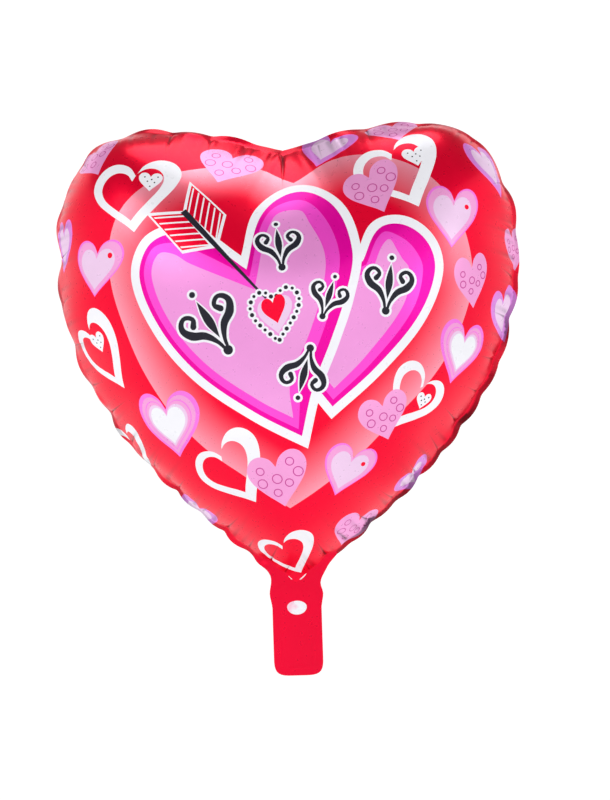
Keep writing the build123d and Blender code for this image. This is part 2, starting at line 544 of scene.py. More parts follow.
def smooth_loop(points, corners, step):
    """A smooth closed line through the points, with a sharp turn at each numbered corner."""
    p = np.array(points, float)
    count = len(p)
    line = []
    for i in range(count):
        j = (i + 1) % count
        span = p[j] - p[i]
        size = np.linalg.norm(span)
        leave = span if i in corners else p[j] - p[i - 1]
        arrive = span if j in corners else p[(j + 1) % count] - p[i]
        a = p[i] + leave / np.linalg.norm(leave) * size / 3
        b = p[j] - arrive / np.linalg.norm(arrive) * size / 3
        line.append(bezier([p[i], a, b, p[j]], max(2, int(round(size / step))) + 1)[:-1])
    return np.vstack(line)


# Half of a heart one unit wide and high, from cleft to tip.
HALF_HEART = [(0, 0.24), (0.09, 0.40), (0.26, 0.48), (0.42, 0.41), (0.50, 0.22), (0.44, 0.0),
              (0.27, -0.22), (0.10, -0.40), (0, -0.52)]


def heart(centre, size, tilt=0, skew=0, step=0.0022):
    """A heart's outline. tilt turns it anticlockwise, in degrees, and skew lifts its right lobe."""
    shape = np.array(HALF_HEART + [(-x, y) for x, y in HALF_HEART[-2:0:-1]])
    shape = shape * size + np.column_stack([0 * shape[:, 0], shape[:, 0] * skew * size[0]])
    return turned(smooth_loop(shape, (0, len(HALF_HEART) - 1), step), tilt) + centre


def turned(points, degrees):
    a = math.radians(degrees)
    return np.asarray(points) @ np.array([[math.cos(a), math.sin(a)], [-math.sin(a), math.cos(a)]])


def turned_spot(spot, degrees):
    return turned([spot], degrees)[0]


def circle(centre, radius, sides=12):
    a = np.arange(sides) * 2 * np.pi / sides
    return np.column_stack([np.cos(a), np.sin(a)]) * radius + centre


def stroke(points, widths, extra=0.0, step=0.0016):
    """A brush stroke through the points, as wide as widths says and extra wider all round."""
    p = np.array(points, float)
    dense, wide = [], []
    for i in range(len(p) - 1):
        before = p[i + 1] - p[max(i - 1, 0)]
        after = p[min(i + 2, len(p) - 1)] - p[i]
        size = np.linalg.norm(p[i + 1] - p[i])
        count = max(2, int(round(size / step)))
        a = p[i] + before / np.linalg.norm(before) * size / 3
        b = p[i + 1] - after / np.linalg.norm(after) * size / 3
        dense.append(bezier([p[i], a, b, p[i + 1]], count + 1)[:-1])
        wide.append(np.linspace(widths[i], widths[i + 1], count + 1)[:-1])
    line = np.vstack(dense + [p[-1:]])
    half = np.concatenate(wide + [[widths[-1]]]) / 2 + extra
    run = unit(np.gradient(line, axis=0))
    left = left_of(run) * half[:, None]
    caps = [[line[end] + turned_spot(run[end], angle) * half[end] for angle in angles]
            for end, angles in ((0, range(-120, -270, -30)), (-1, range(60, -90, -30)))]
    return np.vstack([line + left, caps[1], (line - left)[::-1], caps[0]])


# One half of a scrolled ornament a unit high: a stem that opens into a curl. Points and widths.
CURL = [(0.02, -0.44), (0.07, -0.24), (0.20, -0.03), (0.40, 0.10), (0.49, 0.29), (0.37, 0.43),
        (0.23, 0.34), (0.29, 0.22)]
CURL_WIDTHS = [0.05, 0.07, 0.13, 0.15, 0.11, 0.08, 0.08, 0.11]
LEAF = [(0, -0.20), (0.075, 0.10), (0.06, 0.32), (0, 0.56), (-0.06, 0.32), (-0.075, 0.10)]
HALO = 0.0018


def ornament(sheet, centre, size, tilt):
    """Two curls with a leaf and a bead between them, in black on a white halo."""
    curls = [np.array(CURL) * (side, 1) * size for side in (1, -1)]
    widths = [w * size for w in CURL_WIDTHS]
    leaf = np.array(LEAF) * size
    bead = (0, 0.70 * size)
    knot = (0, -0.45 * size)
    for ink, grow in (("white", HALO), ("black", 0.0)):
        shapes = [stroke(curl, widths, grow) for curl in curls]
        wider = (1 + grow / size * 8, 1 + grow / size * 2.2)
        shapes.append(smooth_loop(leaf * wider, (0, 3), 0.002))
        shapes += [circle(bead, 0.055 * size + grow), circle(knot, 0.085 * size + grow, 16)]
        for shape in shapes:
            sheet.lay(ink, turned(shape, tilt) + centre)


def scaled(loop, share, shift=(0, 0)):
    middle = (loop.min(0) + loop.max(0)) / 2
    return (loop - middle) * share + middle + shift


# Where the spots lie on a spotted heart a unit wide.
SPOTS = [(-0.25, 0.22), (0.05, 0.10), (0.30, 0.24), (-0.12, 0.0), (0.18, -0.05), (0.0, -0.25)]


def open_heart(sheet, centre, size, tilt, skew=0.10, spotted=None):
    """A white heart with an open middle, thicker on one side, and a small spotted heart in it."""
    outer = heart(centre, size, tilt, skew)
    aside = turned_spot((-0.035 * size[0], -0.01 * size[0]), tilt)
    sheet.lay("white", outer, scaled(outer, 0.70, aside))
    if spotted:
        middle, small = spotted
        sheet.lay("white", heart(middle, (small, small * 0.94), tilt * 0.5))
        for x, y in SPOTS:
            spot = middle + turned_spot((x * small, y * small), tilt * 0.5)
            sheet.lay("black", circle(spot, 0.0007, 7))


# Where the rings sit on a ringed heart a unit wide.
RINGS = [(-0.27, 0.22), (-0.02, 0.02), (0.24, 0.28), (0.34, 0.06), (0.16, -0.10), (-0.28, -0.02),
         (-0.06, -0.24)]
RING_THICK = 0.0008


def ringed_heart(sheet, centre, size, tilt, skew=0.10):
    sheet.lay("pink", heart(centre, size, tilt, skew))
    width = size[0]
    for i, (x, y) in enumerate(RINGS):
        spot = turned_spot((x * width, (y + skew * x) * width * 0.92), tilt) + centre
        radius = width * (0.088 if i % 2 else 0.074)
        sheet.lay("ring", circle(spot, radius, 14), circle(spot, radius - RING_THICK, 14))


def dotted_heart(sheet, centre, size, tilt, skew=0.08):
    """A pink heart with a paler heart inside it and a red spot on one lobe."""
    outer = heart(centre, size, tilt, skew)
    width = size[0]
    sheet.lay("edge", outer)
    sheet.lay("pink", scaled(outer, 0.93))
    sheet.lay("blush", scaled(outer, 0.72, turned_spot((-0.02 * width, -0.02 * width), tilt)))
    spot = turned_spot((0.25 * width, 0.20 * width), tilt) + centre
    sheet.lay("ground", circle(spot, 0.045 * width))


def layered_heart(sheet, centre, size, tilt, skew=0.05):
    """Hearts inside each other, from deep pink to white."""
    outer = heart(centre, size, tilt, skew)
    for ink, share in (("edge", 1.0), ("pink", 0.88), ("edge", 0.76), ("pink", 0.73),
                       ("blush", 0.64), ("white", 0.56)):
        sheet.lay(ink, scaled(outer, share))


def lilac_heart(sheet, centre, size, tilt, skew=0.05):
    outer = heart(centre, size, tilt, skew)
    sheet.lay("edge", outer)
    sheet.lay("lilac", scaled(outer, 0.93))
    sheet.lay("blush", scaled(outer, 0.66))


# The large hearts, from the cleft clockwise to the tip and back. The cleft and the tip are sharp.
GLOW_HEART = [(0.000, 0.376), (0.033, 0.398), (0.076, 0.388), (0.118, 0.358), (0.143, 0.308),
              (0.146, 0.262), (0.123, 0.215), (0.093, 0.181), (0.043, 0.132), (-0.002, 0.099),
              (-0.037, 0.123), (-0.079, 0.151), (-0.113, 0.195), (-0.135, 0.240), (-0.148, 0.295),
              (-0.140, 0.335), (-0.112, 0.366), (-0.076, 0.385), (-0.035, 0.393)]
LEFT_HEART = [(-0.040, 0.300), (-0.030, 0.346), (0.003, 0.373), (0.038, 0.352), (0.054, 0.305),
              (0.048, 0.268), (0.036, 0.232), (0.022, 0.195), (0.012, 0.150), (-0.033, 0.173),
              (-0.076, 0.202), (-0.108, 0.238), (-0.127, 0.280), (-0.120, 0.311), (-0.098, 0.324),
              (-0.070, 0.320)]
RIGHT_HEART = [(0.050, 0.300), (0.064, 0.327), (0.089, 0.331), (0.112, 0.314), (0.119, 0.287),
               (0.105, 0.250), (0.070, 0.209), (0.030, 0.173), (0.000, 0.210), (0.000, 0.280)]


def drawn_in(points, corners, by, more, towards):
    """The outline moved in: by everywhere, and up to by + more on the side that faces towards."""
    p = np.array(points, float)
    ahead, behind = unit(np.roll(p, -1, 0) - p), unit(p - np.roll(p, 1, 0))
    run = unit(ahead + behind)
    out = left_of(run)
    sharp = np.maximum(0.42, (run * ahead).sum(1))
    facing = np.maximum(0, out @ (np.array(towards) / np.linalg.norm(towards)))
    facing[list(corners)] = 0
    return p - out * ((by + more * facing) / sharp)[:, None]


def big_heart(sheet, points, corners):
    """A large heart: white border, two bands of magenta, wider to the upper right, and its fill."""
    for ink, by, more in (("white", 0, 0), ("magenta", 0.0068, 0), ("rose", 0.0105, 0.0075),
                          ("orchid", 0.0165, 0.0135)):
        inner = drawn_in(points, corners, by, more, (0.8, 0.6))
        sheet.lay(ink, smooth_loop(inner, corners, 0.003))


def arrow(sheet):
    """The arrow that meets the small heart: two striped vanes and a black shaft that narrows."""
    root, point = np.array((-0.088, 0.337)), np.array((-0.020, 0.266))
    for tip, end, foot in (((-0.086, 0.367), (-0.054, 0.336), (-0.058, 0.309)),
                           ((-0.117, 0.334), (-0.086, 0.301), (-0.061, 0.306))):
        vane = np.array([tip, end, foot, root])
        sheet.lay("white", vane)
        sheet.lay("ground", scaled(vane, 0.86))
        lean, along = root - vane[0], vane[1] - vane[0]
        half = along / np.linalg.norm(along) * 0.0008
        for i in range(6):
            a = vane[0] + lean * 0.10 + along * (0.13 + 0.145 * i)
            b = a + lean * 0.80
            sheet.lay("white", np.array([a - half, a + half, b + half, b - half]))
    side = left_of((point - root) / np.linalg.norm(point - root))
    thick, thin = side * 0.0026, side * 0.0008
    sheet.lay("black", np.array([root + thick, point + thin, point - thin, root - thick]))


def centre_heart(sheet):
    """A small red heart in a ring of beads, where the arrow ends."""
    middle = (-0.0125, 0.2535)
    ring = heart(middle, (0.038, 0.040), 6, 0.10)
    spots = even(closed(ring), 26)[:-1]
    for ink, grow in (("white", 0.0016), ("black", 0)):
        for i, spot in enumerate(spots):
            sheet.lay(ink, circle(spot, (0.0017 if i % 2 else 0.0013) + grow, 9))
    sheet.lay("blush", heart(middle, (0.027, 0.028), 8, 0.10))
    sheet.lay("ground", heart((-0.0135, 0.2575), (0.019, 0.021), 14, 0.12))


# The small hearts, which the large ones overlap: centre, width and height, tilt. An open heart's
# skew follows, and the centre and width of the spotted heart inside it.
SMALL_HEARTS = [
    (open_heart, (-0.128, 0.352), (0.072, 0.064), 4, 0.16, ((-0.117, 0.363), 0.019)),
    (open_heart, (0.090, 0.372), (0.072, 0.068), 18, 0.10, ((0.102, 0.384), 0.020)),
    (open_heart, (-0.166, 0.221), (0.056, 0.070), 34, 0.10, ((-0.170, 0.231), 0.019)),
    (open_heart, (-0.048, 0.127), (0.067, 0.060), 34, 0.12),
    (open_heart, (0.098, 0.185), (0.055, 0.053), -34, -0.06, ((0.107, 0.183), 0.015)),
    (open_heart, (-0.004, 0.042), (0.060, 0.054), 24, 0.10),
    (open_heart, (-0.163, 0.121), (0.054, 0.056), 20, 0.08),
    (ringed_heart, (-0.057, 0.392), (0.054, 0.046), -16),
    (ringed_heart, (-0.174, 0.396), (0.048, 0.052), 24),
    (ringed_heart, (0.067, 0.358), (0.047, 0.046), 16),
    (ringed_heart, (0.088, 0.428), (0.050, 0.044), 8),
    (ringed_heart, (0.148, 0.281), (0.036, 0.043), 10),
    (ringed_heart, (-0.011, 0.124), (0.049, 0.046), 12),
    (ringed_heart, (0.073, 0.172), (0.042, 0.040), 14),
    (ringed_heart, (0.060, 0.057), (0.050, 0.045), -24),
    (ringed_heart, (0.212, 0.318), (0.034, 0.040), 10),
    (dotted_heart, (-0.161, 0.293), (0.052, 0.046), -8),
    (dotted_heart, (0.129, 0.332), (0.046, 0.050), -6),
    (dotted_heart, (0.044, 0.129), (0.044, 0.046), -22),
    (layered_heart, (-0.102, 0.163), (0.060, 0.060), 6),
    (layered_heart, (0.141, 0.222), (0.050, 0.054), -14),
    (lilac_heart, (0.028, 0.417), (0.052, 0.046), -20),
    (lilac_heart, (0.172, 0.386), (0.044, 0.058), 24),
    (lilac_heart, (0.120, 0.099), (0.044, 0.040), 34),
    (lilac_heart, (0.200, 0.254), (0.044, 0.052), 16),
    (lilac_heart, (-0.102, 0.060), (0.042, 0.040), -30),
    (lilac_heart, (-0.212, 0.318), (0.036, 0.048), -14),
]
# The ornaments: centre, height and tilt.
ORNAMENTS = [((-0.010, 0.306), 0.034, 8), ((-0.060, 0.243), 0.044, 34),
             ((0.027, 0.264), 0.028, -18), ((0.074, 0.272), 0.036, -8), ((0.010, 0.213), 0.034, 166)]


def glow_outline():
    return smooth_loop(GLOW_HEART, (0, 9), 0.004)


def printed():
    sheet = Print()
    sheet.lay("glow", glow_outline())
    for draw, *shape in SMALL_HEARTS:
        draw(sheet, *shape)
    big_heart(sheet, RIGHT_HEART, (0, 7, 8, 9))
    big_heart(sheet, LEFT_HEART, (0, 8))
    arrow(sheet)
    centre_heart(sheet)
    for shape in ORNAMENTS:
        ornament(sheet, *shape)
    return sheet


# ---------------------------------------------------------------- the film that is shown
EMBOSS_INSET = 0.0062               # the tail's weld line, inside its edge
EMBOSS_HALF = 0.0007
EMBOSS_HEIGHT = 0.0003
CRUMPLE = 0.0007                    # how far the loose neck film is crumpled
TAIL_WAVE = 0.0009
NECK_PUFF = 0.00018                 # how far each film stands out where the neck folds
PLEAT_HEIGHT = 0.00042
PLEATS = ((0.0125, 1.0, 0.4), (0.0083, 0.8, 2.1), (0.0197, 0.7, 4.4))   # spacing, share and phase
CREASE_STEPS = 14
CREASE_HALF = 0.0016
GROOVE = 0.0013                     # depth of a crease of strength 1
UV_SHIFT = (0.25, 0.08)
UV_SPAN = 0.55


def port_loop():
    """The inflation hole: round below, flatter above."""
    a = np.arange(28) * 2 * np.pi / 28
    flat_top = np.where(np.sin(a) > 0, 0.78, 1.0)
    return np.column_stack([np.cos(a) * PORT_RADII[0], np.sin(a) * PORT_RADII[1] * flat_top]) + PORT


def emboss_line(inset):
    """The tail's inner weld line: down one side, round the foot and up the other."""
    across, foot, round_off = TAIL_HALF - inset, inset - TAIL_LENGTH, 0.011 - inset * 0.5
    bend = (across, foot + round_off)
    side = bezier([(across, -0.026), (across, -0.035), (across, -0.045), bend], 14)
    turn = bezier([bend, (across, foot), (across, foot), (across - round_off, foot)], 8)[1:]
    half = np.vstack([side, turn, [(0, foot)]])
    return np.vstack([half, half[::-1][1:] * [-1, 1]])


def in_neck(points):
    """The neck and tail: outside the weld line and inside the flare."""
    low = (points[:, 1] < FLARE_TOP) & (np.abs(points[:, 0]) < FLARE_HALF)
    return low & ~inside(WELD, points)


def flat_film(sheet):
    """The film as cut, with the print's outlines as mesh edges, and the ink of each triangle."""
    edge = film_edge(FINE)
    points, edges = [], []

    def add(line, closed=True):
        start = sum(len(p) for p in points)
        points.append(line)
        links = ring_edges(start, len(line))
        edges.extend(links if closed else links[:-1])

    for loop in (WELD, edge, port_loop()):
        add(loop)
    for inset in (EMBOSS_INSET - EMBOSS_HALF, EMBOSS_INSET, EMBOSS_INSET + EMBOSS_HALF):
        add(emboss_line(inset), closed=False)
    for loop in sheet.loops():
        add(loop)
    for line in crease_edges():
        add(line, closed=False)
    # A grid point close beside a line would make a thin triangle, which shows as a speck.
    lines = np.vstack(points)
    beside = np.vstack([close_set(line, NECK_FINE / 2) for line in points])
    grid, close_grid = hex_points(FINE), hex_points(NECK_FINE)
    grid = np.vstack([grid[~needs_detail(grid)], close_grid[needs_detail(close_grid)]])
    grid = grid[inside(edge, grid)]
    grid = grid[clear_of(beside, grid, NECK_FINE * 0.6)]
    flat, tris, _ = triangulate(np.vstack([lines, grid]), edges)
    middle = flat[tris].mean(1)
    keep = inside(edge, middle)
    tris, middle = counter_clockwise(flat, tris[keep]), middle[keep]
    ink = sheet.ink_at(middle, np.zeros(len(tris), int))
    ink[in_neck(middle)] = INKS.index("crimson")
    return *packed(flat, tris), ink


def needs_detail(points):
    """The neck, the tail and the pleated band inside the weld line."""
    neck = (np.abs(points[:, 0]) < FLARE_HALF) & (points[:, 1] < 0.03)
    return neck | (distance_to(COARSE_WELD, points) < 0.030)


def clear_of(lines, points, gap):
    """Which points have none of the lines' points nearer than gap."""
    cells = {}
    for i, key in enumerate(map(tuple, np.floor(lines / gap).astype(int))):
        cells.setdefault(key, []).append(i)
    clear = np.ones(len(points), bool)
    for i, (cx, cy) in enumerate(map(tuple, np.floor(points / gap).astype(int))):
        near = [k for x in (cx - 1, cx, cx + 1) for y in (cy - 1, cy, cy + 1)
                for k in cells.get((x, y), ())]
        if near and np.linalg.norm(lines[near] - points[i], axis=1).min() < gap:
            clear[i] = False
    return clear


def pleats(points, mirror):
    """Fine pleats that run in from the weld line and fade out, as a height above the film."""
    gap, place = nearest_on(closed(WELD), points * (mirror, 1))
    wave = sum(share * np.cos(2 * np.pi * place / length + phase + 1.3 * np.sin(place * 23 + phase))
               for length, share, phase in PLEATS)
    patchy = 0.55 + 0.45 * np.sin(place * 14 + 1.0) * np.sin(place * 37)
    fade = np.exp(-gap / 0.017) * (1 - np.exp(-gap / 0.0025))
    return np.where(inside(WELD, points * (mirror, 1)), PLEAT_HEIGHT * wave * patchy * fade, 0)


def crease_lines():
    """The creases on the flat film: each one's foot on the weld line, way in, reach and strength."""
    tip = len(WELD) // 2
    loop, away = closed(WELD), closed(rim_normals(WELD))
    along = lengths(loop)
    share = lengths(weld_line(FULL, FINE)[:tip + 1])
    share /= share[-1]
    down = along[:tip + 1]
    places = [(0.0, CLEFT_CREASE)]
    places += [(np.interp(at, share, down), deep) for at, deep in CREASES_RIGHT]
    places += [(along[-1] - np.interp(at, share, down), deep) for at, deep in CREASES_LEFT]
    lines = []
    for k, (at, deep) in enumerate(places):
        foot = np.array([np.interp(at, along, loop[:, c]) for c in (0, 1)])
        way = unit(-np.array([np.interp(at, along, away[:, c]) for c in (0, 1)]))
        way = turned_spot(way, 7 * math.sin(5.1 * k) if k else 0)
        reach = 0.018 + 0.028 * deep * (0.75 + 0.25 * math.sin(3.7 * k))
        lines.append((foot, way, reach, deep))
    return lines


def crease_edges():
    """The mesh lines that a crease needs: its bottom and its two shoulders."""
    made = []
    for foot, way, reach, _ in crease_lines():
        along = np.linspace(0.0012, reach, CREASE_STEPS)
        half = CREASE_HALF * (1 - 0.75 * along / reach)
        made += [foot + along[:, None] * way + (side * half)[:, None] * left_of(way)
                 for side in (-1, 0, 1)]
    return made


def grooves(points):
    """How deep the creases cut into the film at each point."""
    cut = np.zeros(len(points))
    for foot, way, reach, deep in crease_lines():
        along = (points - foot) @ way
        across = (points - foot) @ left_of(way)
        near = (along > -0.001) & (along < reach)
        half = CREASE_HALF * (1 - 0.75 * np.clip(along / reach, 0, 1))
        valley = np.clip(1 - np.abs(across) / half, 0, 1)
        brow = 0.25 * np.exp(-((np.abs(across) - 0.0035) / 0.0022)**2)
        fade = (1 - np.clip(along / reach, 0, 1))**1.4 * np.clip(along / 0.002, 0, 1)
        cut += np.where(near, deep * fade * (valley - brow), 0)
    return GROOVE * cut


def crumple(points):
    """The neck's crumples and the tail's wave: a move to and fro, the same for every layer."""
    move = np.zeros(len(points))
    for i, (x, y) in enumerate(points):
        loose = math.exp(-((y - 0.004) / 0.020)**2) + 0.10
        high = max(0.0, min(1.0, (0.034 - y) / 0.010))
        folds = noise.noise(Vector((x * 120 + y * 60, y * 75, 3.1)))
        folds += 0.8 * abs(noise.noise(Vector((x * 70 - y * 110, y * 60, 8.2))))
        move[i] = CRUMPLE * folds * loose * high
    gap = distance_to(WELD, points)
    calm = np.where(inside(WELD, points), 0.0, 1 - np.exp(-gap / 0.004))
    wave = TAIL_WAVE * np.sin(points[:, 1] * 75 + 0.8) * np.clip(-points[:, 1] / 0.03, 0, 1)
    return (move + wave) * calm


def embossed(points):
    gap, _ = nearest_on(emboss_line(EMBOSS_INSET), points)
    return EMBOSS_HEIGHT * np.exp(-(gap / EMBOSS_HALF)**2)


def neck_puff(points):
    """Where the neck folds, its two films stand apart, so that the valve stays between them."""
    inset = np.clip((TAIL_HALF - np.abs(points[:, 0])) / 0.004, 0, 1)
    return NECK_PUFF * inset * np.exp(-(points[:, 1] / 0.011)**2)


def vertex_normals(points, tris):
    a, b, c = (points[tris[:, k]] for k in range(3))
    face = np.cross(b - a, c - a)
    normals = np.zeros_like(points)
    for k in range(3):
        np.add.at(normals, tris[:, k], face)
    return normals / np.maximum(np.linalg.norm(normals, axis=1), 1e-20)[:, None]


def glow_share(points):
    """How much of the pale glow is left, from 1 at its heart-shaped edge to 0 further in."""
    gap = distance_to(registered(glow_outline()), points)
    return np.clip(1 - gap / 0.040, 0, 1)**1.3


def painted_fold_shade(flat, place, ribs, cuts):
    """Painted shade: how much darker the foil's colour is made at each point, in creases, between
    pleats and along the seam.
    """
    # Painted shade in the bottoms of the creases and between the pleats.
    shade = 0.85 * np.clip(cuts / GROOVE, 0, 1)**0.6 + 0.34 * np.clip(-ribs / 0.0003, 0, 1)
    gap, along = nearest_on(closed(WELD), flat)
    # Painted shade on the seam: darkest on its lower right side, rippled along it.
    away = np.clip(place[:, 0] / 0.05, 0, 1) * np.clip((0.27 - place[:, 1]) / 0.05, 0, 1)
    seam = 0.30 + 0.45 * away + 0.22 * np.sin(along * 95) * np.sin(along * 41 + 1)
    on_seam = ~inside(WELD, place) & ~in_neck(place) & (place[:, 1] > 0) & (gap > 1e-5)
    return np.clip(np.where(on_seam, seam, shade), 0, 1)


def attribute(mesh, name, kind, domain, values):
    mesh.attributes.new(name, kind, domain).data.foreach_set("value", values)


def film_piece(name, surface, flat, tris, ink, front):
    """One printed film of the balloon, body, seam, neck and tail in one sheet."""
    mirror = 1 if front else -1
    place = flat * (mirror, 1)
    points = surface.at(place)
    normals = vertex_normals(points, tris)
    if np.median(normals[:, 1]) * mirror > 0:
        tris, normals = tris[:, ::-1], -normals
    ribs, cuts = pleats(place, mirror), grooves(flat)
    lift = ribs - cuts + embossed(place) + neck_puff(place) + FILM_GAP / 2
    points = points + normals * lift[:, None]
    points[:, 1] += crumple(place)
    piece = mesh_object(name, points, tris)
    mesh = piece.data
    mesh.polygons.foreach_set("material_index", ink.astype(np.int32))
    smooth(mesh)
    on_weld = distance_to(WELD, place) < 1e-6
    pairs = np.zeros(len(mesh.edges) * 2, int)
    mesh.edges.foreach_get("vertices", pairs)
    attribute(mesh, "sharp_edge", "BOOLEAN", "EDGE", on_weld[pairs.reshape(-1, 2)].all(1))
    # Face areas weigh the normals, so that a thin triangle beside an outline leaves no mark.
    shown = vertex_normals(points, tris)
    shown[on_weld] = 0
    mesh.normals_split_custom_set_from_vertices(shown.tolist())
    attribute(mesh, "glow", "FLOAT", "POINT", glow_share(flat).astype(np.float32))
    # Painted shade, kept for the materials: darker in creases, between pleats and along the seam.
    shade = painted_fold_shade(flat, place, ribs, cuts).astype(np.float32)
    attribute(mesh, "painted_shade", "FLOAT", "POINT", shade)
    corners = np.zeros(len(mesh.loops), int)
    mesh.loops.foreach_get("vertex_index", corners)
    uv = (flat + UV_SHIFT) / UV_SPAN
    mesh.uv_layers.new(name="film").data.foreach_set("uv", uv[corners].ravel())
    for ink_name in INKS:
        mesh.materials.append(foil(ink_name))
    return piece


# ---------------------------------------------------------------- materials
def colour(*levels):
    """A linear colour from the 0 to 255 values that a screen shows."""
    shares = [level / 255 for level in levels]
    return tuple(c / 12.92 if c <= 10 / 255 else ((c + 0.055) / 1.055)**2.4 for c in shares) + (1,)


GROUND = colour(252, 2, 52)
GLOW = colour(255, 158, 178)
LOW_ORCHID = colour(240, 160, 224)  # the orchid towards the large hearts' tips
BLACK = (0, 0, 0, 1)
PRINT = {
    "ground": GROUND,
    "white": colour(244, 244, 250),
    "magenta": colour(244, 2, 168),
    "rose": colour(254, 78, 212),
    "orchid": colour(243, 148, 220),
    "black": colour(38, 38, 48),
    "pink": colour(246, 164, 220),
    "blush": colour(240, 206, 238),
    "ring": colour(198, 62, 150),
    "lilac": colour(222, 140, 226),
    "crimson": colour(238, 2, 52),
    "edge": colour(248, 124, 230),
}
# How much of each ink lets the metal film shine through.
SHINE = {"ground": 0.55, "glow": 0.45, "crimson": 0.6, "magenta": 0.45, "rose": 0.4, "orchid": 0.3,
         "lilac": 0.3, "pink": 0.3, "blush": 0.25, "ring": 0.3, "white": 0.1, "black": 0.0,
         "edge": 0.3}
DEEPEST_PAINTED_SHADE = 0.92                    # how near to black the deepest painted shade, in a fold or on the seam, is


def node(tree, kind, values=(), **settings):
    made = tree.nodes.new(kind)
    for key, value in settings.items():
        setattr(made, key, value)
    for key, value in dict(values).items():
        made.inputs[key].default_value = value
    return made


def ramp(tree, source, low, high, out_low, out_high):
    made = node(tree, "ShaderNodeMapRange", {"From Min": low, "From Max": high, "To Min": out_low,
                                             "To Max": out_high})
    tree.links.new(source, made.inputs["Value"])
    return made.outputs["Result"]


def mixed(tree, share, a, b):
    made = node(tree, "ShaderNodeMix", data_type="RGBA")
    for socket, value in ((0, share), (6, a), (7, b)):
        if isinstance(value, bpy.types.NodeSocket):
            tree.links.new(value, made.inputs[socket])
        else:
            made.inputs[socket].default_value = value
    return made.outputs[2]


def new_material(name, inputs):
    """A material with these shader inputs, its node tree and its shader."""
    material = bpy.data.materials.new(name)
    material.use_nodes = True
    tree = material.node_tree
    shader = tree.nodes["Principled BSDF"]
    for key, value in inputs.items():
        shader.inputs[key].default_value = value
    return material, tree, shader


def noise_over(tree, where, values):
    made = node(tree, "ShaderNodeTexNoise", values)
    tree.links.new(where, made.inputs["Vector"])
    return made.outputs["Fac"]


def bump(tree, shader, height, strength, distance, inputs):
    made = node(tree, "ShaderNodeBump", {"Strength": strength, "Distance": distance})
    tree.links.new(height, made.inputs["Height"])
    for key in inputs:
        tree.links.new(made.outputs["Normal"], shader.inputs[key])


def foil(ink):
    """Printed metal film: ink over metal under a thin gloss, faintly crinkled, with painted shade in
    its folds and along its seam.
    """
    found = bpy.data.materials.get("foil_" + ink)
    if found:
        return found
    material, tree, shader = new_material("foil_" + ink, {
        "Metallic": SHINE[ink], "Specular IOR Level": 0.06,
        "Coat Weight": 0.12, "Coat Roughness": 0.12})
    where = node(tree, "ShaderNodeTexCoord").outputs["Object"]
    cloudy = noise_over(tree, where, {"Scale": 14.0, "Detail": 3.0})
    crinkle = noise_over(tree, where, {"Scale": 45.0, "Detail": 2.0, "Roughness": 0.45})
    grain = noise_over(tree, where, {"Scale": 240.0, "Detail": 2.0})
    if ink == "glow":
        share = node(tree, "ShaderNodeAttribute", attribute_name="glow").outputs["Fac"]
        base = mixed(tree, share, GROUND, GLOW)
    elif ink == "orchid":
        split = node(tree, "ShaderNodeSeparateXYZ")
        tree.links.new(where, split.inputs[0])
        share = ramp(tree, split.outputs["Z"], 0.14, 0.32, 0.0, 1.0)
        base = mixed(tree, share, LOW_ORCHID, PRINT["orchid"])
    else:
        base = PRINT[ink]
    deeper = mixed(tree, 0.10, base, BLACK)
    tone = mixed(tree, ramp(tree, cloudy, 0.3, 0.7, 0.0, 1.0), deeper, base)
    # Painted shade: the colour is mixed towards near black in creases, between pleats and along the
    # seam.
    painted_shade = node(tree, "ShaderNodeAttribute", attribute_name="painted_shade").outputs["Fac"]
    tone = mixed(tree, painted_shade, tone, mixed(tree, DEEPEST_PAINTED_SHADE, base, BLACK))
    tree.links.new(tone, shader.inputs["Base Color"])
    tree.links.new(ramp(tree, grain, 0.3, 0.7, 0.27, 0.33), shader.inputs["Roughness"])
    bump(tree, shader, crinkle, 0.12, 0.0004, ("Normal", "Coat Normal"))
    return material


def valve_film():
    """Milky polythene with a silvery shine, softly rippled."""
    material, tree, shader = new_material("valve_polythene", {
        "Metallic": 0.25, "Coat Weight": 0.6, "Coat Roughness": 0.08})
    where = node(tree, "ShaderNodeTexCoord").outputs["Object"]
    ripple = noise_over(tree, where, {"Scale": 160.0, "Detail": 3.0, "Distortion": 1.2})
    blush = noise_over(tree, where, {"Scale": 120.0, "Detail": 1.0})
    share = ramp(tree, blush, 0.52, 0.68, 0.0, 0.55)
    tone = mixed(tree, share, colour(238, 238, 244), colour(250, 150, 190))
    tree.links.new(tone, shader.inputs["Base Color"])
    tree.links.new(ramp(tree, ripple, 0.3, 0.7, 0.12, 0.34), shader.inputs["Roughness"])
    bump(tree, shader, ripple, 0.9, 0.0008, ("Normal",))
    return material


# ---------------------------------------------------------------- the valve inside the neck
VALVE_GRID = 0.0012
VALVE_SHARE = 0.22                  # how far each valve film is from the middle, in film gaps
HOLE_SHARE = 0.94                   # the valve film's hole, as a share of the inflation hole


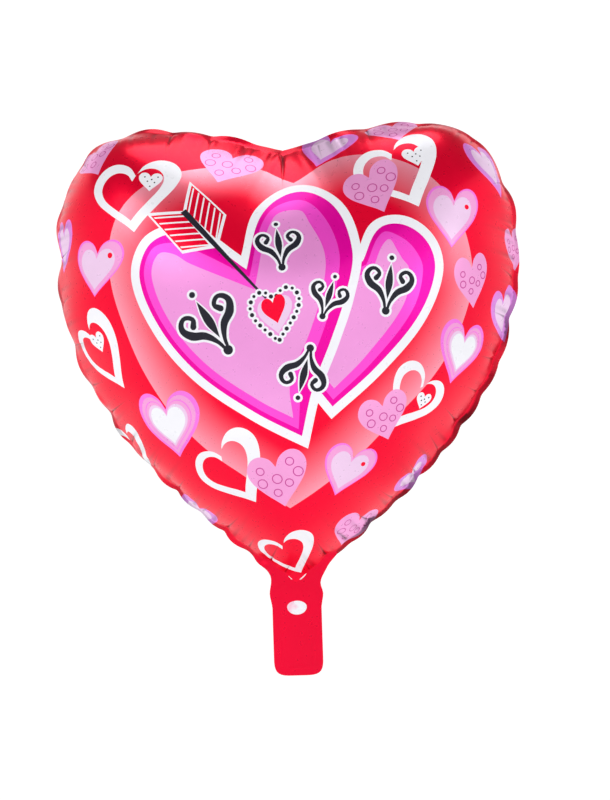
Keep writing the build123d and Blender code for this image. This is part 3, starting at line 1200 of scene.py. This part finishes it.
def valve_strip(name, low, high, side, holed, middle, material):
    """One film of the flat valve tube, between two heights, on its own side of the middle."""
    box_low, box_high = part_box("valve_front_flap")
    width, height = box_high.x - box_low.x, high - low
    columns, rows = int(round(width / VALVE_GRID)), int(round(height / VALVE_GRID))
    across, up = np.meshgrid(np.linspace(-width / 2, width / 2, columns + 1),
                             np.linspace(low, high, rows + 1))
    flat = np.column_stack([across.ravel(), up.ravel()])
    corner = np.arange(len(flat)).reshape(across.shape)[:-1, :-1].ravel()
    above = corner + columns + 1
    tris = np.column_stack([corner, corner + 1, above + 1, corner, above + 1, above]).reshape(-1, 3)
    if holed:
        hole = (flat - PORT) / np.multiply(PORT_RADII, HOLE_SHARE)
        tris = tris[~(np.linalg.norm(hole, axis=1) < 1)[tris].any(1)]
    flat, tris = packed(flat, tris)
    y = middle(flat) + side * FILM_GAP * VALVE_SHARE
    points = np.column_stack([flat[:, 0], y, flat[:, 1]])
    piece = mesh_object(name, points, tris if side < 0 else tris[:, ::-1])
    smooth(piece.data)
    piece.data.materials.append(material)
    return piece


# ---------------------------------------------------------------- building it
LIP_GAP = 0.0005                    # film left out where a valve lip starts


def build():
    film = coarse_film()
    blown = blow_up(film)
    front_map = Surface(film, blown, film["front"])
    back_map = Surface(film, blown, film["back"])
    flat, tris, ink = flat_film(printed())
    in_port = inside(port_loop(), flat[tris].mean(1))
    for name, surface, front in (("front_film", front_map, True), ("back_film", back_map, False)):
        kept = tris[~in_port] if front else tris
        kept_ink = ink[~in_port] if front else ink
        piece = film_piece(name, surface, flat, kept, kept_ink, front)
        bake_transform(piece)
        word = "front" if front else "back"
        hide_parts(f"{word}_panel", f"tail_{word}_ply")

    def middle(points):
        height = (front_map.at(points)[:, 1] + back_map.at(points)[:, 1]) / 2
        return height + crumple(points)

    polythene = valve_film()
    tail_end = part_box("valve_front_tail")[0].z
    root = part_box("valve_front_neck")[1].z
    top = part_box("valve_front_flap")[1].z
    for word, side in (("front", -1), ("back", 1)):
        strip = valve_strip(f"valve_{word}_strip", tail_end, root, side, side < 0, middle,
                            polythene)
        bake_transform(strip)
        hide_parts(f"valve_{word}_tail", f"valve_{word}_neck")
        flap = valve_strip(f"valve_{word}_lip", root + LIP_GAP, top, side, False, middle, polythene)
        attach(flap, f"valve_{word}")
        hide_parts(f"valve_{word}_flap")


# ---------------------------------------------------------------- floor, light and camera
FLOOR = -0.30                       # height of the floor, below the tail
FLAT_FLOOR = (0.5, 3.0)             # the floor's inner ring, and where it starts to curve up
WALL_BEND = 2.0                     # radius of that curve
WALL_TOP = 3.8
WALL_SIDES = 72
PAPER = {"Base Color": (0.45, 0.45, 0.45, 1), "Roughness": 1.0, "Specular IOR Level": 0.0,
         "Emission Color": (1, 1, 1, 1), "Emission Strength": 0.73}
LIGHTS = [("key", (-1.1, -1.6, 1.5), 1.2, 7.5),     # place, size and power
          ("fill", (1.5, -1.3, 0.5), 1.0, 3.5),
          ("top", (0.1, 0.3, 1.9), 1.0, 8)]
LIT = (0, 0, 0.2)                   # where the lights point
DAYLIGHT, DAYLIGHT_STRENGTH = (1.0, 0.99, 0.985, 1), 0.2
LENS, SENSOR = 125, 36
LOOKED_AT = Vector((0.0115, 0, 0.150))
CAMERA_DISTANCE = 2.2
CAMERA_AZIMUTH, CAMERA_ROLL = math.radians(1.5), math.radians(-1.8)


def stage():
    """A round white floor that curves up into a white wall all round."""
    edge = FLAT_FLOOR[1]
    profile = [(r, FLOOR) for r in FLAT_FLOOR]
    profile += [(edge + WALL_BEND * math.sin(a), FLOOR + WALL_BEND - WALL_BEND * math.cos(a))
                for a in np.linspace(0, math.pi / 2, 17)[1:]]
    profile.append((edge + WALL_BEND, WALL_TOP))
    turn = 2 * math.pi / WALL_SIDES
    points = [(0, 0, FLOOR)]
    points += [(r * math.cos(turn * k), r * math.sin(turn * k), z)
               for r, z in profile for k in range(WALL_SIDES)]
    faces = [(0, 1 + k, 1 + (k + 1) % WALL_SIDES) for k in range(WALL_SIDES)]
    for ring in range(len(profile) - 1):
        a, b = 1 + ring * WALL_SIDES, 1 + (ring + 1) * WALL_SIDES
        for k in range(WALL_SIDES):
            after = (k + 1) % WALL_SIDES
            faces.append((a + k, b + k, b + after, a + after))
    sweep = mesh_object("studio_sweep", points, faces)
    smooth(sweep.data)
    sweep.data.materials.append(new_material("studio_paper", PAPER)[0])


def aim(thing, place, target):
    """Set the object there, looking at the target."""
    thing.location = place
    thing.rotation_euler = (Vector(target) - Vector(place)).to_track_quat("-Z", "Y").to_euler()
    bpy.context.scene.collection.objects.link(thing)


def lights():
    for name, place, size, power in LIGHTS:
        data = bpy.data.lights.new(name, "AREA")
        data.shape = "DISK"
        data.size = size
        data.energy = power
        aim(bpy.data.objects.new(name, data), place, LIT)
    world = bpy.data.worlds.new("studio")
    bpy.context.scene.world = world
    world.use_nodes = True
    backdrop = world.node_tree.nodes["Background"]
    backdrop.inputs["Color"].default_value = DAYLIGHT
    backdrop.inputs["Strength"].default_value = DAYLIGHT_STRENGTH


def camera():
    data = bpy.data.cameras.new("camera")
    data.lens = LENS
    data.sensor_width = SENSOR
    eye = bpy.data.objects.new("camera", data)
    away = Vector((math.sin(CAMERA_AZIMUTH), -math.cos(CAMERA_AZIMUTH), 0))
    eye.location = LOOKED_AT + away * CAMERA_DISTANCE
    roll = Quaternion((0, 0, 1), CAMERA_ROLL)
    eye.rotation_euler = ((LOOKED_AT - eye.location).to_track_quat("-Z", "Y") @ roll).to_euler()
    bpy.context.scene.collection.objects.link(eye)
    bpy.context.scene.camera = eye
    bpy.context.scene.view_settings.view_transform = "Standard"


camera()
build()
stage()
lights()
